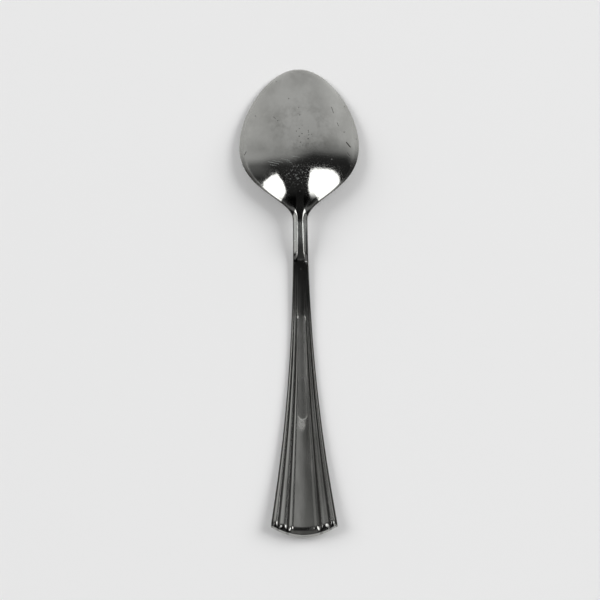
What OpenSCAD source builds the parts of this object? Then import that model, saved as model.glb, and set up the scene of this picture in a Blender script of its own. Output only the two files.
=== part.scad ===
// Soup spoon with an egg-shaped bowl and a fan-ended, reeded handle.
// It lies face down, the way it rests on a table: back up, bowl tip towards +Y, table at z = 0.
// A real one is pressed from a single steel blank. The three nodes are the zones of that blank.
// They are lofted from one set of rails and meet on the same sections, so no size can part them.

/* [Overall] */
// Length from the bowl's tip to the handle's end
overall_l = 175; // [165:1:195]

/* [Bowl] */
// Width of the bowl across its rim
bowl_w = 44.7; // [40:0.1:50]
// Distance from the tip to the widest place
bowl_widest = 29.3; // [27:0.1:32]
// Fullness of the outline near the tip, where 0.55 is an ellipse
tip_fullness = 0.5; // [0.46:0.01:0.6]
// Depth of the hollow at its deepest place
bowl_depth = 7.8; // [6:0.1:9]
// Distance from the tip to the deepest place
bowl_deepest = 26.4; // [25:0.1:28]
// Fullness of the bowl's section, where 2 is a parabola
bowl_power = 2; // [1.9:0.05:2.4]
// Thickness of the bowl's wall at its deepest place
bowl_wall = 1.2; // [1:0.05:1.6]
// Thickness of the rim
rim_t = 0.9; // [0.8:0.05:1.2]
// Width of the flat rim round the hollow
rim_land = 0.9; // [0.6:0.05:1.2]
// Radius of the back, lengthwise, at the top of the bowl
back_round = 38; // [34:1:44]
// Slope of the back where it leaves the tip, in degrees
tip_slope = 35; // [30:1:38]
// Tilt of the rim while the spoon rests on its tip and handle, in degrees
bowl_tilt = 5.5; // [4.5:0.1:6.5]

/* [Neck] */
// Distance from the tip to the narrowest place
neck_at = 56.8; // [54:0.1:60]
// Width of the neck at its narrowest place
neck_w = 5.5; // [5:0.1:7]
// Thickness of the neck at its middle
neck_t = 2.9; // [2.7:0.05:3.4]
// Thickness of the neck at its edges
neck_edge = 1.65; // [1.4:0.05:1.9]
// Height of the neck's face over the table
neck_lift = 4.8; // [4.2:0.1:5.4]
// Fall of the face where the neck is narrowest, in degrees
neck_fall = 11.5; // [9:0.5:13]
// Fall of the face at the end of the neck, in degrees
neck_drop = 19; // [16:0.5:21]
// Length of the neck from there to its end
neck_l = 12; // [10:0.5:13]
// Fullness of the neck's section, where more is flatter on top
neck_power = 2.6; // [2.2:0.1:3.2]

/* [Handle] */
// Length over which the handle drops from the neck to the table
drop_l = 22; // [20:0.5:24]
// Height of the face over the table after that drop
drop_lift = 0.2; // [0.15:0.01:0.3]
// Width of the fan at the handle's end
end_w = 25.1; // [21:0.1:28]
// Bulge of the handle's end past its corners
end_bulge = 3.7; // [2.5:0.1:5]
// Thickness of the handle at its middle
handle_t = 2.3; // [2.1:0.05:2.7]
// Thickness of the handle at its edges
handle_edge = 1; // [0.8:0.05:1.1]
// Length from the end of that drop to the place that rests on the table
rest_l = 12; // [8:1:16]
// Length of the fan at the handle's end
fan_l = 57; // [50:1:61]
// Height of the end's face over the table
end_lift = 3.4; // [2.6:0.1:4.2]
// Distance from the handle's end over which its back rolls down
end_round = 3.5; // [3:0.1:4.5]
// Width of the flat lip round the handle's end
lip_w = 1.1; // [0.9:0.05:1.4]

/* [Reeding] */
// Height of the reeds on the back
reed_h = 0.65; // [0.5:0.05:0.75]
// Height of the reeds on the face
face_reed_h = 0.3; // [0.2:0.05:0.35]

/* [Hidden] */

// A reed is its centre, half width and height, across half of the handle
reeds = [[0, 0.6, 1], [0.4, 0.105, 0.92], [0.665, 0.145, 0.8], [0.905, 0.085, 0.6]];
// The grooves between the reeds, and the steps that each reed is drawn with
grooves = [0, 0.34, 0.51, 0.82];
reed_steps = [3, 3, 6];
outer_groove = grooves[3];
hollow_edge = 1 - rim_land / (bowl_w / 2);
edge_bevel = 0.2;

// Places along the spoon, as distances from the tip
bowl_run = neck_at - bowl_widest;
bowl_end = bowl_widest + 0.82 * bowl_run;
heel_end = bowl_end + 0.14 * bowl_run;
neck_end = neck_at + neck_l;
hold_at = neck_end - 1;
thin_at = neck_end + 4;
handle_start = neck_end + 0.75 * drop_l;
shaft_at = neck_end + drop_l;
rest_at = shaft_at + rest_l;
lift_run = overall_l - rest_at;
fan_at = overall_l - fan_l;
corner_at = overall_l - end_bulge;

// Heights of the back over the rim or edge
bowl_rise = bowl_depth + bowl_wall - rim_t;
neck_face_reed_h = 0.6 * face_reed_h;
neck_rise = neck_t - neck_edge - neck_face_reed_h;
handle_rise = handle_t - handle_edge - reed_h - face_reed_h;
shaft_rise = 0.15;

// Curves

function bezier(p, t) =
    p[0] * pow(1 - t, 3) + 3 * p[1] * t * pow(1 - t, 2) + 3 * p[2] * t * t * (1 - t) + p[3] * t * t * t;

// Where along one curve the distance s is reached, found by halving
function reach(p, s, low = 0, high = 1, halvings = 26) =
    let (mid = (low + high) / 2)
    halvings == 0 ? mid
    : bezier(p, mid)[0] < s ? reach(p, s, mid, high, halvings - 1)
    : reach(p, s, low, mid, halvings - 1);

// A rail is a chain of curves, each of four points [distance from the tip, value]
function curve_of(rail, s, i = 0) =
    i == len(rail) - 1 || s <= rail[i][3][0] ? rail[i] : curve_of(rail, s, i + 1);
function on_rail(rail, s) =
    let (curve = curve_of(rail, s))
    bezier(curve, reach(curve, s))[1];

function ease(s, from, to) =
    let (x = min(1, max(0, (s - from) / (to - from))))
    x * x * (3 - 2 * x);

// Plan: half of the outline, from the tip to the handle's corner

bowl_half = bowl_w / 2;
neck_half = neck_w / 2;
end_half = end_w / 2;
heel_pull = 0.61 * bowl_run;
neck_pull = 0.3 * bowl_run;
// This pull gives both curves the same curvature where they meet
tip_pull = heel_pull * sqrt(bowl_half * (1 - tip_fullness) / (bowl_half - neck_half));
flare_pull = 0.55 * (corner_at - neck_at);
fan_pull = 0.1 * (corner_at - neck_at);
fan_slope = 0.135;

plan_rail = [
    [[0, 0], [0, tip_fullness * bowl_half], [bowl_widest - tip_pull, bowl_half], [bowl_widest, bowl_half]],
    [
        [bowl_widest, bowl_half],
        [bowl_widest + heel_pull, bowl_half],
        [neck_at - neck_pull, neck_half],
        [neck_at, neck_half],
    ],
    [
        [neck_at, neck_half],
        [neck_at + flare_pull, neck_half],
        [corner_at - fan_pull, end_half - fan_slope * fan_pull],
        [corner_at, end_half],
    ],
];

// Side: the rim or face over the table, the rise of the back over it, and the depth of the hollow

rim_slope = tan(bowl_tilt);
fall_slope = tan(neck_fall);
drop_slope = tan(neck_drop);
shaft_slope = 2.4 * drop_lift / rest_l;
lift_slope = 2 * end_lift / lift_run;
neck_end_lift = neck_lift - neck_l * (fall_slope + drop_slope) / 2;
rim_pull = 0.38 * bowl_run;
fall_pull = 0.35 * bowl_run;
drop_pull = 0.12 * drop_l;
settle_pull = 0.45 * drop_l;
shaft_pull = rest_l / 3;
lift_pull = 0.32 * lift_run;
face_rail = [
    [
        [0, 0],
        [bowl_widest / 3, rim_slope * bowl_widest / 3],
        [bowl_widest * 2 / 3, rim_slope * bowl_widest * 2 / 3],
        [bowl_widest, rim_slope * bowl_widest],
    ],
    [
        [bowl_widest, rim_slope * bowl_widest],
        [bowl_widest + rim_pull, rim_slope * (bowl_widest + rim_pull)],
        [neck_at - fall_pull, neck_lift + fall_pull * fall_slope],
        [neck_at, neck_lift],
    ],
    [
        [neck_at, neck_lift],
        [neck_at + neck_l / 3, neck_lift - neck_l / 3 * fall_slope],
        [neck_end - neck_l / 3, neck_end_lift + neck_l / 3 * drop_slope],
        [neck_end, neck_end_lift],
    ],
    [
        [neck_end, neck_end_lift],
        [neck_end + drop_pull, neck_end_lift - drop_pull * drop_slope],
        [shaft_at - settle_pull, drop_lift + settle_pull * shaft_slope],
        [shaft_at, drop_lift],
    ],
    [
        [shaft_at, drop_lift],
        [shaft_at + shaft_pull, drop_lift - shaft_pull * shaft_slope],
        [rest_at - shaft_pull, 0],
        [rest_at, 0],
    ],
    [
        [rest_at, 0],
        [rest_at + lift_pull, 0],
        [overall_l - lift_pull, end_lift - lift_pull * lift_slope],
        [overall_l, end_lift],
    ],
];

tip_reach = 0.21 * bowl_widest;
tip_rise = tip_reach * tan(tip_slope);
// A curve that levels out with this pull has the back's radius at its top
function level_pull(drop) = sqrt(2 / 3 * drop * back_round);
crown_pull = level_pull(bowl_rise - tip_rise);
heel_drop_pull = level_pull(bowl_rise - neck_rise);
thin_pull = 0.4 * (thin_at - hold_at);
thick_pull = (fan_at - thin_at) / 3;
rise_rail = [
    [[0, 0], [tip_reach, tip_rise], [bowl_deepest - crown_pull, bowl_rise], [bowl_deepest, bowl_rise]],
    [
        [bowl_deepest, bowl_rise],
        [bowl_deepest + heel_drop_pull, bowl_rise],
        [bowl_end - heel_pull / 6, neck_rise],
        [heel_end, neck_rise],
    ],
    [
        [heel_end, neck_rise],
        [heel_end + 1, neck_rise],
        [hold_at - 1, neck_rise],
        [hold_at, neck_rise],
    ],
    [
        [hold_at, neck_rise],
        [hold_at + thin_pull, neck_rise],
        [thin_at - thin_pull, shaft_rise],
        [thin_at, shaft_rise],
    ],
    [
        [thin_at, shaft_rise],
        [thin_at + thick_pull, shaft_rise],
        [fan_at - thick_pull, handle_rise],
        [fan_at, handle_rise],
    ],
];
hollow_rail = [
    [
        [rim_land, 0],
        [rim_land + tip_reach, tip_rise * bowl_depth / bowl_rise],
        [bowl_deepest - crown_pull, bowl_depth],
        [bowl_deepest, bowl_depth],
    ],
    [
        [bowl_deepest, bowl_depth],
        [bowl_deepest + 0.94 * heel_drop_pull, bowl_depth],
        [bowl_end - heel_pull / 3, 0],
        [bowl_end + 0.1 * bowl_run, 0],
    ],
];

function half_width(s) = on_rail(plan_rail, min(s, corner_at));
function face_z(s) = on_rail(face_rail, s);
function rise(s) = on_rail(rise_rail, s);
function hollow(s) = on_rail(hollow_rail, s);
function power(s) =
    bowl_power + (neck_power - bowl_power) * ease(s, bowl_widest + bowl_run / 2, bowl_end);
function edge(s) =
    rim_t + (neck_edge - rim_t) * ease(s, bowl_widest + 0.3 * bowl_run, neck_at)
    - (neck_edge - handle_edge) * ease(s, neck_at, fan_at);
function reed(s) = reed_h * ease(s, thin_at, fan_at);
function face_reed(s) =
    neck_face_reed_h * ease(s, bowl_end, neck_end)
    + (face_reed_h - neck_face_reed_h) * ease(s, neck_at, fan_at);
function bulge(s) = end_bulge * pow(max(0, (s - fan_at) / (corner_at - fan_at)), 3);

// Fall of the back across half of the spoon, from 0 at its middle to 1 at its edge.
// The bowl's is one curve. The neck's is a flat crown between two sloping sides.

flat_half = 0.42;
flat_soft = 0.09;
function bend(v) = v - flat_half + sqrt(pow(v - flat_half, 2) + pow(flat_soft, 2));
function faceted(v) = (bend(v) - bend(0)) / (bend(1) - bend(0));
function fall(s, v) =
    let (facet = ease(s, bowl_end - 2, bowl_end + 3))
    (1 - facet) * pow(v, power(s)) + facet * faceted(v);

// Section: the points across half of the spoon, as fractions of its half width

half_across = concat(
    [for (i = [0:2]) for (k = [0:reed_steps[i] - 1])
        grooves[i] + (grooves[i + 1] - grooves[i]) * k / reed_steps[i]],
    [for (k = [0:3]) outer_groove + (hollow_edge - outer_groove) * k / 3],
    [1]
);
steps = len(half_across) - 1;
across = concat([for (i = [steps:-1:1]) -half_across[i]], half_across);
row = len(across);

function reed_at(r, v) = 1 - pow((abs(v) - r[0]) / r[1], 2);
function back_reeds(v) = max(concat([0], [for (r = reeds) r[2] * reed_at(r, v)]));
function face_reeds(v) = max(concat([0], [for (r = reeds) reed_at(r, v)]));

// Share of the relief that is left as the back rolls down to the lip at the handle's end
function relief(s) =
    let (x = min(1, max(0, (corner_at - lip_w - s) / (end_round - lip_w))))
    pow(1 - pow(1 - x, 2.2), 0.8);

// Share of the edge's thickness that is left where the lip itself is rounded
lip_round = handle_edge / 2;
function lip_share(s) =
    let (x = min(1, max(0, (corner_at - s) / lip_round)))
    sqrt(1 - pow(1 - x, 2));

function point(s, v, x, z) = [x, overall_l / 2 - s - bulge(s) * (1 - v * v), z];

function section(s) =
    let (w = half_width(s) - edge_bevel)
    let (share = lip_share(s))
    let (narrow = 1 - lip_round * (1 - share) / w)
    let (low = face_reed(s))
    let (inner = hollow_edge * w)
    let (h = hollow(s))
    let (left = relief(s))
    concat(
        [for (v = across)
            let (f = face_z(s + bulge(s) * (1 - v * v)))
            let (mid = f + low + edge(s) / 2)
            let (arch = rise(s) * (1 - fall(s, abs(v))))
            let (top = f + low + edge(s) + left * (arch + reed(s) * back_reeds(v)))
            point(s, v, v * w * narrow, mid + (top - mid) * share)],
        [point(s, 1, half_width(s) * narrow, face_z(s) + low + edge(s) / 2)],
        [for (i = [row - 1:-1:0])
            let (v = across[i])
            let (f = face_z(s + bulge(s) * (1 - v * v)))
            let (mid = f + low + edge(s) / 2)
            let (dish = h * max(0, 1 - pow(abs(v) * w / inner, power(s))))
            let (under = f + dish + low * (1 - left * face_reeds(v)))
            point(s, v, v * w * narrow, mid + (under - mid) * share)],
        [point(s, 1, -half_width(s) * narrow, face_z(s) + low + edge(s) / 2)]
    );

module loft(stations) {
    ring = 2 * row + 2;
    last = len(stations) - 1;
    far = last * ring;
    points = [for (s = stations) each section(s)];
    skin = [for (i = [0:last - 1]) for (j = [0:ring - 1])
        let (k = (j + 1) % ring)
        each [
            [i * ring + j, i * ring + k, (i + 1) * ring + k],
            [i * ring + j, (i + 1) * ring + k, (i + 1) * ring + j],
        ]];
    near_cap = concat(
        [for (j = [0:row - 2]) each [[j, 2 * row - j, 2 * row - j - 1], [j, 2 * row - j - 1, j + 1]]],
        [[row - 1, row + 1, row], [0, 2 * row + 1, 2 * row]]
    );
    far_cap = [for (f = near_cap) [far + f[2], far + f[1], far + f[0]]];
    polyhedron(points, concat(skin, near_cap, far_cap), convexity = 6);
}

// Stations: close together at the tip and at the handle's end

function spread(from, to, count) = [for (i = [0:count]) from + (to - from) * i / count];

module bowl() {
    front = [for (i = [0:16]) bowl_widest * (1 - cos(2.6 + (90 - 2.6) * i / 16))];
    back = spread(bowl_widest, bowl_end, 16);
    color("silver") loft(concat(front, [for (i = [1:16]) back[i]]));
}

module neck() {
    straight = spread(bowl_end, hold_at, 10);
    bent = spread(hold_at, thin_at, 5);
    shaft = spread(thin_at, handle_start, 4);
    color("lightsteelblue")
        loft(concat(straight, [for (i = [1:5]) bent[i]], [for (i = [1:4]) shaft[i]]));
}

module handle() {
    shaft = spread(handle_start, corner_at - end_round, 26);
    roll = spread(corner_at - end_round, corner_at - lip_w, 7);
    lip = [for (a = [90, 66, 44, 24, 8]) corner_at - lip_round * (1 - cos(a))];
    color("gainsboro") loft(concat(shaft, [for (i = [1:7]) roll[i]], lip));
}

bowl();
neck();
handle();
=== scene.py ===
import math

import bpy
import numpy as np
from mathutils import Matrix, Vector


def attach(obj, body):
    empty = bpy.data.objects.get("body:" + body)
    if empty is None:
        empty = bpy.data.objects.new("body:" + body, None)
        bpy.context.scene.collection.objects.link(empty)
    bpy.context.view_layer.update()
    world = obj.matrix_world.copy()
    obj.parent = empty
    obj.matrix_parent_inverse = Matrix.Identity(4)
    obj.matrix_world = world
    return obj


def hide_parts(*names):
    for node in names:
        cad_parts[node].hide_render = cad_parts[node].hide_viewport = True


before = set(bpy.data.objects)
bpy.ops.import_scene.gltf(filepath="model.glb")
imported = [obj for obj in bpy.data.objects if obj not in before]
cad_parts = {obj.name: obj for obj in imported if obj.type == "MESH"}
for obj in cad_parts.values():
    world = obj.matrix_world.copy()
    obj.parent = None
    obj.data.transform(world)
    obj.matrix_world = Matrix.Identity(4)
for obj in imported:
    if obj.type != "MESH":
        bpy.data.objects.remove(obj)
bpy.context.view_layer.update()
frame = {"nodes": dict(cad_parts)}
mm = 0.001
scene = bpy.context.scene
print("frame loaded with", ", ".join(frame["nodes"]))


# one socket of a node tree, with the sums that can be written on it
class Wire:
    def __init__(self, tree, socket=None):
        self.tree = tree
        self.socket = socket

    def plug(self, socket, value):
        if isinstance(value, Wire):
            self.tree.links.new(value.socket, socket)
        else:
            socket.default_value = value

    # settings go on the node first, then the values or links of its sockets, by name or place
    def node(self, kind, settings=None, sockets=None, out=0):
        made = self.tree.nodes.new(kind)
        for name, value in (settings or {}).items():
            if name == "stops":
                self.rampStops(made.color_ramp, value)
            else:
                setattr(made, name, value)
        for name, value in (sockets or {}).items():
            self.plug(made.inputs[name], value)
        return Wire(self.tree, made.outputs[out]) if len(made.outputs) else made

    def rampStops(self, ramp, stops):  # grey stops: place and brightness
        while len(ramp.elements) < len(stops):
            ramp.elements.new(1.0)
        for element, (place, grey) in zip(ramp.elements, stops):
            element.position = place
            element.color = (grey, grey, grey, 1)

    def sum(self, operation, *values):
        return self.node("ShaderNodeMath", {"operation": operation}, dict(enumerate(values)))

    def __add__(self, other): return self.sum("ADD", self, other)
    def __radd__(self, other): return self.sum("ADD", other, self)
    def __sub__(self, other): return self.sum("SUBTRACT", self, other)
    def __rsub__(self, other): return self.sum("SUBTRACT", other, self)
    def __mul__(self, other): return self.sum("MULTIPLY", self, other)
    def __rmul__(self, other): return self.sum("MULTIPLY", other, self)
    def __truediv__(self, other): return self.sum("DIVIDE", self, other)
    def __pow__(self, other): return self.sum("POWER", self, other)
    def __abs__(self): return self.sum("ABSOLUTE", self)
    def over(self, other): return self.sum("MAXIMUM", self, other)
    def under(self, other): return self.sum("MINIMUM", self, other)

    def mix(self, a, b):  # colour a where this is 0, colour b where it is 1
        sockets = {0: self, 6: a, 7: b}  # a Mix node's colours are sockets 6 and 7
        return self.node("ShaderNodeMix", {"data_type": "RGBA"}, sockets, 2)

    def ramp(self, low, high):  # eases from 0 to 1 between two values, either way round
        settings = {"interpolation_type": "SMOOTHSTEP"}
        flip = low > high
        sockets = {"Value": self, "From Min": min(low, high), "From Max": max(low, high),
                   "To Min": float(flip), "To Max": float(not flip)}
        return self.node("ShaderNodeMapRange", settings, sockets)


def largest(masks):
    found = masks[0]
    for mask in masks[1:]:
        found = found.over(mask)
    return found


# a mask of some strength that fades in over ranges along named axes
def patch(axes, strength, ranges):
    mask = strength
    for axis, low, high in ranges:
        mask = mask * axes[axis].ramp(low, high)
    return mask


# Spoon: lengths in mm from the bowl's tip, the same as in the CAD source
spoon = {
    "length": 175, "bowlWidth": 44.7, "bowlWidest": 29.3, "tipFullness": 0.5,
    "bowlDepth": 7.8, "bowlDeepest": 26.4, "bowlWall": 1.2, "rimThickness": 0.9, "rimLand": 0.9,
    "backRound": 38, "tipSlope": 35, "bowlTilt": 5.5,
    "neckAt": 56.8, "neckWidth": 5.5, "neckThickness": 2.9, "neckEdge": 1.65,
    "neckLift": 4.8, "neckFall": 11.5, "neckDrop": 19, "neckLength": 12,
    "dropLength": 22, "dropLift": 0.2, "restLength": 12,
    "endWidth": 25.1, "endBulge": 3.7, "handleThickness": 2.3, "handleEdge": 1.0, "edgeRound": 0.3,
    "fanLength": 57, "fanSlope": 0.135, "endLift": 3.4, "endRound": 3.5, "lipWidth": 1.1, "lipTilt": 7,
    "rollFillet": 0.08, "rollPowers": (2.2, 0.8),
    "reedHeight": 0.65, "faceReedHeight": 0.3, "firstGroove": 0.51,
    "reeds": [  # centre, half width and height
        (0, 0.6, 1), (0.4, 0.105, 0.92), (0.665, 0.145, 0.8), (0.905, 0.085, 0.6)],
    "bowlPower": 2.0, "neckPower": 2.6, "shaftRise": 0.15, "flatHalf": 0.42, "flatSoft": 0.09,
    "facetFrom": -2, "facetTo": 3,  # from the bowl's end
    "holdTo": -1, "thinTo": 4,  # from the neck's end: thick up to the first, thin from the second
    "markFrom": 92.3, "markTo": 131.0, "markWidth": 3.2, "markDepth": 0.16, "markWall": 0.3,
    "shares": {  # lengths of the curves' handles and a few places, as shares of the run they lie in
        "bowlEnd": 0.82, "heelEnd": 0.14, "hollowEnd": 0.1, "edgeFrom": 0.3, "neckReed": 0.6,
        "shaftSlope": 2.4, "heel": 0.61, "neck": 0.3, "flare": 0.55, "fan": 0.1, "rim": 0.38, "fall": 0.35,
        "drop": 0.12, "level": 0.45, "lift": 0.32, "thin": 0.4, "tip": 0.21, "hollowHeel": 0.94,
    },
    "masks": {  # ranges over which the stored masks fade in
        "back": (0.9, 1), "rim": (0.925, 0.965), "tooth": (0.44, 0.5), "lip": (0.1, 0),
        "innerGroove": (0.4, 0.36), "west": (0.02, -0.02),
    },
    "westLitShare": 0.85,  # share of the painted groove shade kept out of the left inner groove, whose side faces the lit west
    "fineFrom": 46, "fineTo": 62, "tipSteps": 60, "lipSteps": 10, "acrossSteps": [24, 15], "edgeSteps": 6,
    "inset": 0.9995,  # keeps the smooth skin inside the faceted solid's box
}


def bezier(points, t):
    a, b, c, d = (np.array(p, float)[:, None] for p in points)
    return a * (1 - t) ** 3 + 3 * b * t * (1 - t) ** 2 + 3 * c * t * t * (1 - t) + d * t ** 3


# a rail is a chain of curves through (distance from the tip, value), read off at any distance
def rail(*curves):
    t = np.linspace(0, 1, 2001)
    drawn = np.concatenate([bezier(c, t) for c in curves], axis=1)
    return lambda s: np.interp(s, drawn[0], drawn[1])


def ease(s, start, stop):
    x = np.clip((s - start) / (stop - start), 0, 1)
    return x * x * (3 - 2 * x)


def quarterRound(x):  # height of a quarter circle of radius 1
    return np.sqrt(1 - (1 - np.clip(x, 0, 1)) ** 2)


def spoonRails(d):
    share = d["shares"]
    widest, neckAt, length = d["bowlWidest"], d["neckAt"], d["length"]
    bowlRun = neckAt - widest
    bowlEnd = widest + share["bowlEnd"] * bowlRun
    heelEnd = bowlEnd + share["heelEnd"] * bowlRun
    hollowEnd = bowlEnd + share["hollowEnd"] * bowlRun
    crownAt = d["bowlDeepest"]
    neckEnd = neckAt + d["neckLength"]
    holdAt, thinAt = neckEnd + d["holdTo"], neckEnd + d["thinTo"]
    shaftAt = neckEnd + d["dropLength"]
    restAt = shaftAt + d["restLength"]
    fanAt = length - d["fanLength"]
    cornerAt = length - d["endBulge"]
    handleRun, liftRun = cornerAt - neckAt, length - restAt

    # outline, as half the width
    bowlHalf, neckHalf, endHalf = d["bowlWidth"] / 2, d["neckWidth"] / 2, d["endWidth"] / 2
    heelPull, neckPull = share["heel"] * bowlRun, share["neck"] * bowlRun
    tipPull = heelPull * math.sqrt(bowlHalf * (1 - d["tipFullness"]) / (bowlHalf - neckHalf))
    flarePull, fanPull = share["flare"] * handleRun, share["fan"] * handleRun
    halfWidth = rail(
        [(0, 0), (0, d["tipFullness"] * bowlHalf), (widest - tipPull, bowlHalf), (widest, bowlHalf)],
        [(widest, bowlHalf), (widest + heelPull, bowlHalf),
         (neckAt - neckPull, neckHalf), (neckAt, neckHalf)],
        [(neckAt, neckHalf), (neckAt + flarePull, neckHalf),
         (cornerAt - fanPull, endHalf - d["fanSlope"] * fanPull), (cornerAt, endHalf)])

    # the face's height over the table
    rimSlope, fallSlope, dropSlope = (
        math.tan(math.radians(d[name])) for name in ("bowlTilt", "neckFall", "neckDrop"))
    shaftSlope = share["shaftSlope"] * d["dropLift"] / (restAt - shaftAt)
    liftSlope = 2 * d["endLift"] / liftRun
    rimPull, fallPull = share["rim"] * bowlRun, share["fall"] * bowlRun
    dropPull, levelPull = share["drop"] * d["dropLength"], share["level"] * d["dropLength"]
    shaftPull, liftPull = (restAt - shaftAt) / 3, share["lift"] * liftRun
    rimZ, neckZ, dropZ, endZ = rimSlope * widest, d["neckLift"], d["dropLift"], d["endLift"]
    neckThird = d["neckLength"] / 3
    neckEndZ = neckZ - d["neckLength"] * (fallSlope + dropSlope) / 2
    faceZ = rail(
        [(0, 0), (widest / 3, rimZ / 3), (widest * 2 / 3, rimZ * 2 / 3), (widest, rimZ)],
        [(widest, rimZ), (widest + rimPull, rimZ + rimPull * rimSlope),
         (neckAt - fallPull, neckZ + fallPull * fallSlope), (neckAt, neckZ)],
        [(neckAt, neckZ), (neckAt + neckThird, neckZ - neckThird * fallSlope),
         (neckEnd - neckThird, neckEndZ + neckThird * dropSlope), (neckEnd, neckEndZ)],
        [(neckEnd, neckEndZ), (neckEnd + dropPull, neckEndZ - dropPull * dropSlope),
         (shaftAt - levelPull, dropZ + levelPull * shaftSlope), (shaftAt, dropZ)],
        [(shaftAt, dropZ), (shaftAt + shaftPull, dropZ - shaftPull * shaftSlope),
         (restAt - shaftPull, 0), (restAt, 0)],
        [(restAt, 0), (restAt + liftPull, 0),
         (length - liftPull, endZ - liftPull * liftSlope), (length, endZ)])

    # how far the back arches over its edges, and the bowl's hollow
    neckFaceReed = share["neckReed"] * d["faceReedHeight"]
    bowlRise = d["bowlDepth"] + d["bowlWall"] - d["rimThickness"]
    neckRise = d["neckThickness"] - d["neckEdge"] - neckFaceReed
    shaftRise = d["shaftRise"]
    handleRise = d["handleThickness"] - d["handleEdge"] - d["reedHeight"] - d["faceReedHeight"]
    tipReach = share["tip"] * widest
    tipRise = tipReach * math.tan(math.radians(d["tipSlope"]))
    crownPull = math.sqrt(2 / 3 * (bowlRise - tipRise) * d["backRound"])
    heelDrop = math.sqrt(2 / 3 * (bowlRise - neckRise) * d["backRound"])
    thinPull, thickPull = share["thin"] * (thinAt - holdAt), (fanAt - thinAt) / 3
    rise = rail(
        [(0, 0), (tipReach, tipRise), (crownAt - crownPull, bowlRise), (crownAt, bowlRise)],
        [(crownAt, bowlRise), (crownAt + heelDrop, bowlRise),
         (bowlEnd - heelPull / 6, neckRise), (heelEnd, neckRise)],
        [(heelEnd, neckRise), (heelEnd + 1, neckRise), (holdAt - 1, neckRise), (holdAt, neckRise)],
        [(holdAt, neckRise), (holdAt + thinPull, neckRise),
         (thinAt - thinPull, shaftRise), (thinAt, shaftRise)],
        [(thinAt, shaftRise), (thinAt + thickPull, shaftRise),
         (fanAt - thickPull, handleRise), (fanAt, handleRise)])
    land, depth = d["rimLand"], d["bowlDepth"]
    hollow = rail(
        [(land, 0), (land + tipReach, tipRise * depth / bowlRise),
         (crownAt - crownPull, depth), (crownAt, depth)],
        [(crownAt, depth), (crownAt + share["hollowHeel"] * heelDrop, depth),
         (bowlEnd - heelPull / 3, 0), (hollowEnd, 0)])

    # stations crowd where the metal turns fast: the tip, the heel, both ends of the mark and the handle's end
    lipAt, lipRound = cornerAt - d["lipWidth"], d["handleEdge"] / 2
    markFrom, markTo = d["markFrom"], d["markTo"]
    tip = widest * (1 - np.cos(np.linspace(0, math.pi / 2, d["tipSteps"])))
    starts = [(widest, 34), (d["fineFrom"], 42), (d["fineTo"], 45), (markFrom - 1, 24), (markFrom + 2, 45),
              (markTo - 2, 24), (markTo + 1, 50), (cornerAt - d["endRound"], 30), (lipAt + 0.3, 3),
              (cornerAt - lipRound, 0)]  # the start of each run and its number of steps
    runs = [np.linspace(a, b, steps, endpoint=False) for (a, steps), (b, _) in zip(starts, starts[1:])]
    turn = cornerAt - lipRound * (1 - np.cos(np.linspace(math.pi / 2, 0, d["lipSteps"])))
    s = np.concatenate([tip[:-1], *runs, turn])

    half = halfWidth(s)
    edge = (d["rimThickness"]
            + (d["neckEdge"] - d["rimThickness"]) * ease(s, widest + share["edgeFrom"] * bowlRun, neckAt)
            - (d["neckEdge"] - d["handleEdge"]) * ease(s, neckAt, fanAt))
    bevel = np.minimum(d["edgeRound"], 0.5 * half)
    roll = (lipAt - s) / (d["endRound"] - d["lipWidth"])
    roll = np.clip((roll + np.sqrt(roll ** 2 + d["rollFillet"] ** 2)) / 2, 0, 1)  # with a fillet at the lip
    rollIn, rollOut = d["rollPowers"]
    lipShare = quarterRound((cornerAt - s) / lipRound)
    step = 0.05
    return {
        "place": s, "halfWidth": half - bevel, "bevel": bevel, "edge": edge,
        "bulge": d["endBulge"] * np.maximum(0, (s - fanAt) / (cornerAt - fanAt)) ** 3,
        "faceZ": faceZ(s), "faceSlope": (faceZ(s + step) - faceZ(s - step)) / (2 * step),
        "rise": rise(s), "hollow": hollow(s), "relief": (1 - (1 - roll) ** rollIn) ** rollOut,
        "share": np.minimum(quarterRound(s / (0.5 * d["rimThickness"])), lipShare),
        "narrow": 1 - lipRound * (1 - lipShare) / np.maximum(half, 1),
        "reed": d["reedHeight"] * ease(s, thinAt, fanAt),
        "low": (neckFaceReed * ease(s, bowlEnd, neckEnd)
                + (d["faceReedHeight"] - neckFaceReed) * ease(s, neckAt, fanAt)),
        "decorated": ease(s, thinAt, shaftAt),
        "lip": math.tan(math.radians(d["lipTilt"])) * np.clip(s - lipAt, 0, d["lipWidth"]),
        "facet": ease(s, bowlEnd + d["facetFrom"], bowlEnd + d["facetTo"]),
        "power": d["bowlPower"] + (d["neckPower"] - d["bowlPower"]) * ease(s, widest + bowlRun / 2, bowlEnd),
    }


# once round a section: over the back, round the right edge, under the face, round the left edge
def spoonSection(d):
    inner, outer = d["acrossSteps"]
    half = np.concatenate([np.linspace(0, d["firstGroove"], inner, endpoint=False),
                           np.linspace(d["firstGroove"], 1, 2 * outer + 1)])
    across = np.concatenate([-half[:0:-1], half])
    turn = np.linspace(math.pi / 2, -math.pi / 2, d["edgeSteps"] + 1)[1:-1]
    flat, one = np.zeros_like(across), np.ones_like(turn)
    return {
        "across": np.concatenate([across, one, across[::-1], -one]),
        "side": np.concatenate([flat + 1, np.sin(turn), flat - 1, np.sin(turn[::-1])]),
        "outward": np.concatenate([flat, np.cos(turn), flat, np.cos(turn)]),
    }


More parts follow.
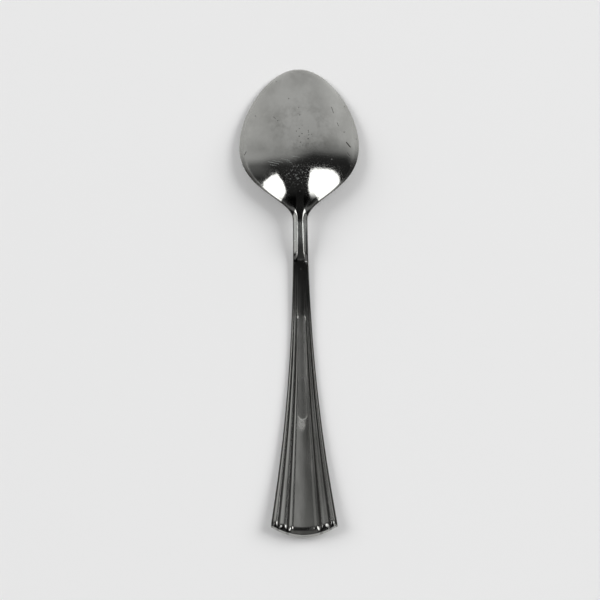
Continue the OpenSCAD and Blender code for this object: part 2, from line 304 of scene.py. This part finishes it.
def pointsWith(name, columns):
    count = len(next(iter(columns.values())))
    mesh = bpy.data.meshes.new(name)
    mesh.from_pydata([(0, i * mm, 0) for i in range(count)], [], [])
    for column, values in columns.items():
        mesh.attributes.new(column, "FLOAT", "POINT").data.foreach_set("value", values.astype(np.float32))
    made = bpy.data.objects.new(name, mesh)
    scene.collection.objects.link(made)
    return made


# the loft's tree: every vertex of a grid reads its station from the rails and its place round the section
def loftTree(d, railNames, material):
    tree = bpy.data.node_groups.new("spoonLoft", "GeometryNodeTree")
    face = tree.interface
    face.new_socket("Rails", in_out="INPUT", socket_type="NodeSocketGeometry")
    face.new_socket("Section", in_out="INPUT", socket_type="NodeSocketObject")
    sizes = {"Length": d["length"], "Hollow edge": 1 - 2 * d["rimLand"] / d["bowlWidth"],
             "Mark from": d["markFrom"], "Mark to": d["markTo"], "Mark width": d["markWidth"],
             "Mark depth": d["markDepth"], "Mark wall": d["markWall"], "Inset": d["inset"]}
    for name, value in sizes.items():
        face.new_socket(name, in_out="INPUT", socket_type="NodeSocketFloat").default_value = value
    face.new_socket("Spoon", in_out="OUTPUT", socket_type="NodeSocketGeometry")
    start = Wire(tree)
    given = tree.nodes.new("NodeGroupInput")
    size = {name: Wire(tree, given.outputs[name]) for name in ["Rails", "Section", *sizes]}
    section = start.node("GeometryNodeObjectInfo", {}, {"Object": size["Section"]}, "Geometry")

    def count(geometry):
        settings = {"component": "MESH"}
        return start.node("GeometryNodeAttributeDomainSize", settings, {"Geometry": geometry}, "Point Count")

    stations, around = count(size["Rails"]), count(section)
    gridSize = {"Size X": 1.0, "Size Y": 1.0, "Vertices X": stations, "Vertices Y": around + 1}
    grid = start.node("GeometryNodeMeshGrid", {}, gridSize, "Mesh")
    index = start.node("GeometryNodeInputIndex")
    i = start.sum("FLOOR", (index + 0.5) / (around + 1))
    j = start.sum("FLOORED_MODULO", index - i * (around + 1), around)

    def read(geometry, place, name):
        value = start.node("GeometryNodeInputNamedAttribute", {"data_type": "FLOAT"}, {"Name": name})
        return start.node("GeometryNodeSampleIndex", {"data_type": "FLOAT", "domain": "POINT"},
                          {"Geometry": geometry, "Value": value, "Index": place})

    at = {name: read(size["Rails"], i, name) for name in railNames}
    across, side, outward = (read(section, j, name) for name in ("across", "side", "outward"))
    fade = d["masks"]
    v = abs(across)
    x = v * at["halfWidth"]
    bow = at["bulge"] * (1 - v * v)
    faceZ = at["faceZ"] + at["faceSlope"] * bow
    middle = faceZ + at["low"] + at["edge"] / 2
    reeds = [(1 - ((v - centre) / half) ** 2, height) for centre, half, height in d["reeds"]]
    crest = largest([one for one, height in reeds]).over(0)
    backReed = largest([one * height for one, height in reeds]).over(0)

    # the mark's place is a bare sunk bar with round ends
    radius = size["Mark width"] / 2
    along = (abs(at["place"] - (size["Mark from"] + size["Mark to"]) / 2)
             - (size["Mark to"] - size["Mark from"]) / 2 + radius).over(0)
    reach = (along * along + x * x) ** 0.5 - radius
    sunk = ((0 - reach) / size["Mark wall"] + 0.5).over(0).under(1)
    sunk = sunk * sunk * (3 - 2 * sunk) * side.ramp(*fade["back"])

    # the bowl's section is one curve, the neck's a flat crown between two sloping sides
    bend = v - d["flatHalf"]
    soft = bend + (bend * bend + d["flatSoft"] ** 2) ** 0.5
    first, last = (b + math.hypot(b, d["flatSoft"]) for b in (-d["flatHalf"], 1 - d["flatHalf"]))
    fall = v ** at["power"]
    fall = fall + at["facet"] * ((soft - first) / (last - first) - fall)
    arch = at["rise"] * (1 - fall) + at["reed"] * backReed
    top = middle + at["edge"] / 2 + at["relief"] * arch + at["lip"] - sunk * size["Mark depth"]
    dish = at["hollow"] * (1 - (v / size["Hollow edge"]) ** at["power"]).over(0)
    under = faceZ + dish + at["low"] * (1 - at["relief"] * crest)
    level = under + (top - under) * (side + 1) / 2
    z = middle + (level - middle) * at["share"]
    right = across.sum("SIGN", across) * (x + at["bevel"] * outward) * at["narrow"]
    forward = size["Length"] / 2 - at["place"] - bow
    scale = size["Inset"] * mm
    place = start.node("ShaderNodeCombineXYZ", {}, {"X": right * scale, "Y": forward * scale, "Z": z * scale})
    skin = start.node("GeometryNodeSetPosition", {}, {"Geometry": grid, "Position": place})

    rolled = 4 * at["relief"] * (1 - at["relief"])  # 1 in the middle of the reeds' rolled ends
    # the painted groove shade is mostly left out of the west half of the inner groove, as that side faces the
    # light
    westLit = d["westLitShare"] * v.ramp(*fade["innerGroove"]) * across.ramp(*fade["west"])
    stored = {"crest": 1 - at["decorated"] * (1 - westLit) * (1 - crest), "mark": sunk, "back": side,
              "rim": outward.over(v.ramp(*fade["rim"])),
              "tooth": rolled * v.ramp(*fade["tooth"]), "lipEdge": at["relief"].ramp(*fade["lip"])}
    for name, value in stored.items():
        skin = start.node("GeometryNodeStoreNamedAttribute", {"data_type": "FLOAT", "domain": "POINT"},
                          {"Geometry": skin, "Name": name, "Value": value})
    skin = start.node("GeometryNodeMergeByDistance", {}, {"Geometry": skin, "Distance": 0.0005 * mm})
    skin = start.node("GeometryNodeSetShadeSmooth", {}, {"Geometry": skin})
    skin = start.node("GeometryNodeRealizeInstances", {}, {"Geometry": skin})
    skin = start.node("GeometryNodeSetMaterial", {}, {"Geometry": skin, "Material": material})
    tree.links.new(skin.socket, tree.nodes.new("NodeGroupOutput").inputs["Spoon"])
    return tree


# Steel: a polished spoon that many washes have dulled, with painted shade and a painted sheen laid on some
# places; x and y are in mm from the frame's origin
steel = {
    # some colours here also paint light: the groove colour gives painted shade in the grooves and on the rim,
    # the near-black one is painted shade, and the dust and worn colours carry a painted sheen
    "colours": {
        "base": (0.645, 0.647, 0.62), "stain": (0.37, 0.37, 0.348), "groove": (0.05, 0.048, 0.045),
        "pit": (0.05, 0.048, 0.043), "dust": (0.50, 0.58, 0.58), "tarnish": (0.012, 0.012, 0.012),
        "markFloor": (0.28, 0.28, 0.27), "worn": (0.66, 0.66, 0.64),
    },
    "zones": {  # y where each zone starts and where it is full
        # the last zone below marks where the rim's painted dark outline fades out toward the tip
        "heel": (58, 53), "neck": (40, 36), "shaft": (18, 15), "handle": (6, -12), "cleanRim": (46, 60)},
    "rough": {"bowl": 0.15, "heel": 0.055, "neck": 0.11, "shaft": 0.065, "handle": 0.13, "mark": 0.24},
    "noises": {  # scale, detail, stretch along the spoon, roughness
        "cloud": (120, 6, 1, 0.66), "film": (60, 4, 0.6, 0.55), "fine": (700, 3, 1, 0.55),
        "hairs": (900, 2, 0.03, 0.55), "grain": (1500, 3, 1, 0.55), "smudges": (170, 5, 0.22, 0.55)},
    "specks": {  # scale, share of the cells that hold a dot, radius of a dot
        "pits": (900, 0.24, 0.26), "loosePits": (240, 0.14, 0.08),
        "dust": (420, 0.05, 0.12), "scuffs": (1900, 0.5, 0.45)},
    "spots": {  # middle and radius
        "pitted": (1.2, 61.4, 5.0), "smeared": (0.5, 63.5, 15.0), "dusted": (-0.6, 47.6, 6.5)},
    "rubbedSheen": (-0.5, -45.2, 1.9, 3.4),  # a pale rubbed patch below the mark, partly wear and partly painted sheen: middle, half width and half length
    "nicks": [  # both ends and the width
        (17.6, 59.2, 19.0, 57.6, 0.20), (12.2, 72.6, 12.9, 70.3, 0.09), (14.2, 66.6, 14.7, 65.4, 0.08),
        (-19.7, 56.4, -20.4, 55.2, 0.10), (17.9, 55.4, 18.6, 54.2, 0.10), (-9.5, 69.0, -8.6, 68.2, 0.07)],
    "strokes": [
        (-11.4, 52.3, -7.6, 51.3, 0.05), (-9.9, 52.7, -6.3, 51.9, 0.04), (-6.6, 53.2, -3.6, 52.5, 0.05),
        (-2.9, 54.1, 0.2, 53.6, 0.04), (-10.8, 51.2, -8.4, 50.6, 0.04), (-4.8, 52.1, -2.9, 51.7, 0.03)],
    "slants": {"gentle": 1.85, "steep": 3},  # how much of the distance from the middle is added to y
    "shadePatches": {  # strength and ranges of painted shade: near-black patches laid where the metal shows dark reflections
        "shoulder": (1.0, [("y", 41.8, 38.2), ("y", 31.1, 32.1), ("aside", 0.7, 1.7),
                           ("gentle", 51.2, 50.0), ("steep", 39.2, 40.6)]),
        "step": (1.0, [("y", 19.1, 18.1), ("y", 14.7, 15.7), ("aside", 0.7, 1.7)]),
        "upperCrown": (0.5, [("y", 43, 40), ("y", 29.4, 30.6), ("aside", 1.5, 0.9)]),
        "lowerCrown": (0.7, [("y", 25, 20), ("y", 15, 17), ("aside", 1.5, 0.9)]),
        "eastEdge": (0.85, [("x", 1.7, 2.1), ("y", 29, 25), ("y", 14, 17)]),
        "shaft": (0.36, [("y", 17, 15), ("y", -6, 4)]),
    },
    # painted shade laid over the glints at the reeds' rolled ends
    "toothShade": 0.9,
    # painted sheen: a pale band across the neck's middle, standing in for its grey reflection
    "neckSheen": (0.22, [("y", 31.4, 29.4), ("y", 18.5, 26)]),
    "shares": {  # how much each mask adds to what
        "pits": {"pits": 1, "loosePits": 0.6, "nicks": 1},
        "dust": {"haze": 0.45, "dots": 0.3, "strokes": 0.6, "neckSheen": 1},
        "stain": {"smear": 0.7, "bowlFilm": 0.4, "fine": 0.15, "smudges": 0.55},
        "rough": {"smear": 0.06, "film": 0.02, "combed": 0.05, "grooves": 0.10, "pits": 0.25, "dust": 0.45,
                  "rim": 0.12, "scuffs": 0.05, "worn": 0.25},
        "relief": {"handleHairs": 0.12, "markGrain": 0.25, "pits": -2.0, "bowlCloud": -0.15,
                   "heelGrain": 1.1},
    },
    "bumpStrength": 0.5, "bumpDistance": 0.012,
}


def steelMaterial(d):
    material = bpy.data.materials.new("wornSteel")
    material.use_nodes = True
    tree = material.node_tree
    tree.nodes.clear()
    start = Wire(tree)
    place = start.node("ShaderNodeTexCoord", out="Object")
    split = tree.nodes.new("ShaderNodeSeparateXYZ")
    tree.links.new(place.socket, split.inputs[0])
    x, y = (Wire(tree, split.outputs[axis]) / mm for axis in "XY")
    axes = {"x": x, "y": y, "aside": abs(x)}
    for slant, amount in d["slants"].items():
        axes[slant] = y + amount * abs(x)
    crest, mark, back, rim, tooth, lipEdge = (
        start.node("ShaderNodeAttribute", {"attribute_name": name}, out="Fac")
        for name in ("crest", "mark", "back", "rim", "tooth", "lipEdge"))

    def noise(name):
        scale, detail, stretch, rough = d["noises"][name]
        where = start.node("ShaderNodeMapping", {}, {"Vector": place, "Scale": (1, stretch, 1)})
        sockets = {"Vector": where, "Scale": scale, "Detail": detail, "Roughness": rough}
        return start.node("ShaderNodeTexNoise", {}, sockets)

    def specks(name):  # round dots in a share of the cells of a loose net
        scale, share, radius = d["specks"][name]
        net = tree.nodes.new("ShaderNodeTexVoronoi")
        net.voronoi_dimensions = "2D"
        net.inputs["Scale"].default_value = scale
        tree.links.new(place.socket, net.inputs["Vector"])
        away, pick = (Wire(tree, net.outputs[out]) for out in ("Distance", "Color"))
        pick = start.node("ShaderNodeSeparateColor", {}, {"Color": pick})
        return away.ramp(radius, 0.4 * radius) * pick.ramp(share + 0.02, share)

    def near(name):  # 1 in the middle of a round place, 0 at its border
        midX, midY, radius = d["spots"][name]
        u, w = x - midX, y - midY
        return ((u * u + w * w) ** 0.5).ramp(radius, 0.35 * radius)

    def scratch(x0, y0, x1, y1, width):  # a short dent, drawn as the distance to a line
        along = ((x - x0) * (x1 - x0) + (y - y0) * (y1 - y0)) / ((x1 - x0) ** 2 + (y1 - y0) ** 2)
        along = along.over(0).under(1)
        u, w = x - x0 - along * (x1 - x0), y - y0 - along * (y1 - y0)
        return ((u * u + w * w) ** 0.5).ramp(width * 1.6, width * 0.5)

    def blend(name, masks):
        return sum(share * masks[mask] for mask, share in d["shares"][name].items())

    zone = {name: y.ramp(*ends) for name, ends in d["zones"].items()}
    heel, neck, handle = zone["heel"], zone["neck"], zone["handle"]
    bowl, upper = 1 - heel, back.ramp(0.9, 1)
    cloud, film = noise("cloud").ramp(0.44, 0.66), noise("film").ramp(0.42, 0.62)
    fine, hairs, grain = noise("fine"), noise("hairs"), noise("grain")
    # grooves are painted dark: partly dirt in the hollows, partly painted shade
    grooves = crest.ramp(0.74, 0.28)

    pits = blend("pits", {"pits": specks("pits") * near("pitted"), "loosePits": specks("loosePits") * bowl,
                          "nicks": largest([scratch(*nick) for nick in d["nicks"]])})
    pits = (pits * upper).under(1)
    # dust on the heel and light strokes, with a painted sheen across the neck
    dust = upper * blend("dust", {
        "haze": grain.ramp(0.5, 0.72) * near("dusted"), "dots": specks("dust") * heel * (1 - 0.5 * handle),
        "strokes": largest([scratch(*stroke) for stroke in d["strokes"]]),
        "neckSheen": patch(axes, *d["neckSheen"])})
    # painted shade: near-black patches standing in for the dark reflections on the neck, the shaft, its east
    # edge and the reeds' ends
    shadedPlaces = [patch(axes, *part) for part in d["shadePatches"].values()]
    tarnish = upper * largest([*shadedPlaces, d["toothShade"] * tooth])
    # the handle's end lip and a patch below the mark, lighter and less metallic: partly wear, partly painted
    # sheen
    midX, midY, halfWide, halfLong = d["rubbedSheen"]
    rubbedSheen = (((x - midX) / halfWide) ** 2 + ((y - midY) / halfLong) ** 2).ramp(1, 0) * (0.4 + 0.6 * fine)
    masks = {
        "smear": cloud * (0.25 + 0.75 * near("smeared")) * bowl, "film": film, "bowlFilm": film * bowl,
        "bowlCloud": cloud * bowl, "fine": fine, "smudges": noise("smudges").ramp(0.42, 0.64) * handle,
        "combed": (hairs - 0.5) * handle, "handleHairs": hairs * handle, "markGrain": fine * mark,
        "heelGrain": grain * heel * (1 - neck), "scuffs": specks("scuffs") * heel * (1 - neck),
        "grooves": grooves, "pits": pits, "dust": dust, "rim": rim,
        "worn": lipEdge.over(0.85 * rubbedSheen * upper * (1 - mark)),
    }

    layers = [  # colours from the metal outwards, and how much of each shows
        # painted shade in the grooves, with some dirt
        ("stain", blend("stain", masks)), ("groove", 0.93 * grooves),
        # painted shade: a dark outline on the rim of the heel and neck, then near-black patches standing in
        # for dark reflections
        ("groove", 0.85 * rim * (1 - zone["cleanRim"]) * (1 - handle)), ("tarnish", 0.95 * tarnish),
        # the pale dust layer also lays a painted sheen across the neck
        ("markFloor", mark * (0.45 + 0.4 * fine)), ("pit", 0.9 * pits), ("dust", (0.7 * dust).under(1)),
        # the lip and the rubbed patch: wear with a painted sheen
        ("worn", 0.7 * masks["worn"]),
    ]
    colour = (*d["colours"]["base"], 1)
    for name, amount in layers:
        colour = amount.mix(colour, (*d["colours"][name], 1))

    rough = before = d["rough"]["bowl"]
    for name, mask in (*zone.items(), ("mark", mark)):
        if name in d["rough"]:
            rough = rough + (d["rough"][name] - before) * mask
            before = d["rough"][name]
    rough = rough + blend("rough", masks)
    metal = 1 - 0.4 * dust.under(1) - 0.35 * masks["worn"]
    normal = start.node("ShaderNodeBump", {}, {
        "Strength": d["bumpStrength"], "Distance": d["bumpDistance"] * mm, "Height": blend("relief", masks)})
    shader = start.node("ShaderNodeBsdfPrincipled", {}, {
        "Base Color": colour, "Metallic": metal, "Roughness": rough, "Normal": normal})
    start.node("ShaderNodeOutputMaterial", {}, {"Surface": shader})
    return material


steelFinish = steelMaterial(steel)
stationTable = spoonRails(spoon)
rails = pointsWith("spoonRails", stationTable)
sectionPoints = pointsWith("spoonSection", spoonSection(spoon))
loft = rails.modifiers.new("loft", "NODES")
loft.node_group = loftTree(spoon, list(stationTable), steelFinish)
for item in loft.node_group.interface.items_tree:
    if item.in_out == "INPUT" and item.name == "Section":
        loft[item.identifier] = sectionPoints
evaluated = rails.evaluated_get(bpy.context.evaluated_depsgraph_get())
body = bpy.data.objects.new("spoonBody", bpy.data.meshes.new_from_object(evaluated))
scene.collection.objects.link(body)
for helper in (rails, sectionPoints):
    bpy.data.objects.remove(helper)
print("spoon lofted:", len(body.data.polygons), "faces")
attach(body, "root")
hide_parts("bowl", "neck", "handle")


# Studio: a pale table under two soft lamps and a small fill, in a grey room that darkens to the south,
# where two soft boxes stand
studio = {
    "floorColour": (0.88, 0.88, 0.88), "floorRough": 0.9, "floorShine": 0.1, "floorSize": 8.0,
    "cameraHeight": 0.65, "frameWidth": 0.22499, "framePixels": 600, "sensorWidth": 36,
    "spoonPixel": (301.25, 302.71), "rollDegrees": -0.77,
    "lamps": {  # two angles in degrees, watts, distance and size
        "softLampEast": (114, 35, 109, 4.0, 2.6), "softLampWest": (-114, 35, 78, 4.0, 2.6),
        "fillSouth": (0, 40, 0.35, 0.8, 0.5),
    },
    "boxDistance": 2.2, "boxStrength": 2.1,
    "boxes": {  # corners in degrees: from south to east, then above the table
        "softBoxEast": [
            (47, 0.5), (42, 0.5), (45, 14), (46, 30), (43, 38), (40, 52), (38, 60), (40, 67), (45, 70),
            (56, 72), (64, 73), (73.5, 66.5), (77, 57), (78.3, 50), (77.6, 43), (74.5, 37), (70, 32),
            (59.5, 22.5), (52, 13)],
        "softBoxWest": [
            (-46.5, 0.5), (-42, 0.5), (-45, 14), (-46, 37), (-49, 54), (-52, 59), (-61, 59), (-72, 57),
            (-71.5, 48.5), (-67, 38.5), (-63, 31), (-56, 20), (-50, 11)],
    },
    "room": [  # grey from south to north, 0.5 is overhead
        (0.43, 0.018), (0.475, 0.028), (0.495, 0.08), (0.507, 0.145), (0.52, 0.215), (0.545, 0.355),
        (0.58, 0.435), (0.7, 0.46), (0.8, 0.5), (1.0, 0.52)],
    "roomLean": (0.2, -0.2, 0.35),  # how much the grey leans to the east, and between which directions
    "glows": {  # strength and ranges of paler places in the room
        "walls": (0.26, [("aside", 0.45, 0.85), ("north", 0.1, 0.4)]),
        "west": (0.1, [("east", -0.55, -0.85), ("north", -0.4, -0.1), ("north", 0.2, 0.0)]),
        "westEdge": (0.18, [("east", -0.85, -0.95), ("north", -0.15, -0.05), ("north", 0.3, 0.2),
                            ("up", 0.42, 0.26)]),
        "east": (0.2, [("east", 0.8, 0.93), ("north", -0.12, 0.08), ("up", 0.52, 0.36)]),
        "lowWest": (0.55, [("east", -0.6, -0.85), ("north", -0.55, -0.4), ("north", 0.05, -0.1),
                           ("up", 0.46, 0.36)]),
        "lowEast": (0.22, [("east", 0.7, 0.88), ("north", -0.55, -0.4), ("north", 0.05, -0.1),
                           ("up", 0.4, 0.3)]),
    },
    "southGlows": {
        "south": (0.1, [("north", -0.48, -0.58), ("aside", 0.4, 0.2)]),
        "lowSouth": (0.3, [("north", -0.45, -0.6), ("aside", 0.78, 0.68), ("up", 0.38, 0.25)]),
    },
    "horizon": (1.0, [("up", 0.12, 0.04), ("north", 0.0, 0.25)]), "horizonColour": (0.68, 0.68, 0.68),
}


def toward(east, up):  # a direction from degrees: south to east, then above the table
    e, u = math.radians(east), math.radians(up)
    return Vector((math.sin(e) * math.cos(u), -math.cos(e) * math.cos(u), math.sin(u)))


def cardMaterial(name, strength):
    material = bpy.data.materials.new(name)
    material.use_nodes = True
    tree = material.node_tree
    tree.nodes.clear()
    start = Wire(tree)
    glow = start.node("ShaderNodeEmission", {}, {"Color": (1, 1, 1, 1), "Strength": strength})
    start.node("ShaderNodeOutputMaterial", {}, {"Surface": glow})
    return material


def softBox(name, corners, d):
    points = [toward(east, up) * d["boxDistance"] for east, up in corners]
    mesh = bpy.data.meshes.new(name)
    mesh.from_pydata(points, [], [list(range(len(points)))])
    mesh.materials.append(cardMaterial(name + "Glow", d["boxStrength"]))
    card = bpy.data.objects.new(name, mesh)
    scene.collection.objects.link(card)
    card.visible_camera = False
    card.visible_diffuse = False  # seen in the metal, while the lamps light the table


def studioFloor(d):
    side = d["floorSize"] / 2
    corners = [(-side, -side, 0), (side, -side, 0), (side, side, 0), (-side, side, 0)]
    mesh = bpy.data.meshes.new("tableTop")
    mesh.from_pydata(corners, [], [(0, 1, 2, 3)])
    material = bpy.data.materials.new("paleTable")
    material.use_nodes = True
    shader = material.node_tree.nodes["Principled BSDF"]
    shader.inputs["Base Color"].default_value = (*d["floorColour"], 1)
    shader.inputs["Roughness"].default_value = d["floorRough"]
    shader.inputs["Specular IOR Level"].default_value = d["floorShine"]
    mesh.materials.append(material)
    floor = bpy.data.objects.new("tableTop", mesh)
    scene.collection.objects.link(floor)


def softLamp(name, east, up, watts, distance, size):
    light = bpy.data.lights.new(name, "AREA")
    light.shape = "DISK"
    light.size = size
    light.energy = watts
    lamp = bpy.data.objects.new(name, light)
    lamp.location = toward(east, up) * distance
    lamp.rotation_euler = lamp.location.to_track_quat("Z", "Y").to_euler()
    lamp.visible_glossy = False  # the metal shows the soft boxes instead
    scene.collection.objects.link(lamp)


def studioWorld(d):
    world = bpy.data.worlds.new("studioRoom")
    scene.world = world
    world.use_nodes = True
    tree = world.node_tree
    tree.nodes.clear()
    start = Wire(tree)
    direction = start.node("ShaderNodeTexCoord", out="Generated")
    split = tree.nodes.new("ShaderNodeSeparateXYZ")
    tree.links.new(direction.socket, split.inputs[0])
    east, north, up = (Wire(tree, out) for out in split.outputs)
    axes = {"east": east, "north": north, "up": up, "aside": abs(east)}
    lean, leanWest, leanEast = d["roomLean"]
    side = (north - lean * east.over(leanWest).under(leanEast)) * 0.5 + 0.5
    colour = start.node("ShaderNodeValToRGB", {"stops": d["room"]}, {"Fac": side})
    for group in ("glows", "southGlows"):
        glow = sum(patch(axes, *place) for place in d[group].values())
        colour = glow.under(1).mix(colour, (1, 1, 1, 1))
    colour = patch(axes, *d["horizon"]).mix(colour, (*d["horizonColour"], 1))
    shine = start.node("ShaderNodeBackground", {}, {"Color": colour, "Strength": 1.0})
    start.node("ShaderNodeOutputWorld", {}, {"Surface": shine})


def studioCamera(d):
    lens = bpy.data.cameras.new("overhead")
    lens.sensor_width = d["sensorWidth"]
    lens.lens = d["sensorWidth"] * d["cameraHeight"] / d["frameWidth"]
    camera = bpy.data.objects.new("overhead", lens)
    scene.collection.objects.link(camera)
    pixel, middle = d["frameWidth"] / d["framePixels"], d["framePixels"] / 2
    roll = math.radians(d["rollDegrees"])
    right, up = (d["spoonPixel"][0] - middle) * pixel, (middle - d["spoonPixel"][1]) * pixel
    camera.location = (-(right * math.cos(roll) - up * math.sin(roll)),
                       -(right * math.sin(roll) + up * math.cos(roll)), d["cameraHeight"])
    camera.rotation_euler = (0, 0, roll)
    scene.camera = camera


studioFloor(studio)
for boxName, boxCorners in studio["boxes"].items():
    softBox(boxName, boxCorners, studio)
for lampName, lampPlace in studio["lamps"].items():
    softLamp(lampName, *lampPlace)
studioWorld(studio)
studioCamera(studio)
scene.view_settings.view_transform = "Standard"
print("studio set")
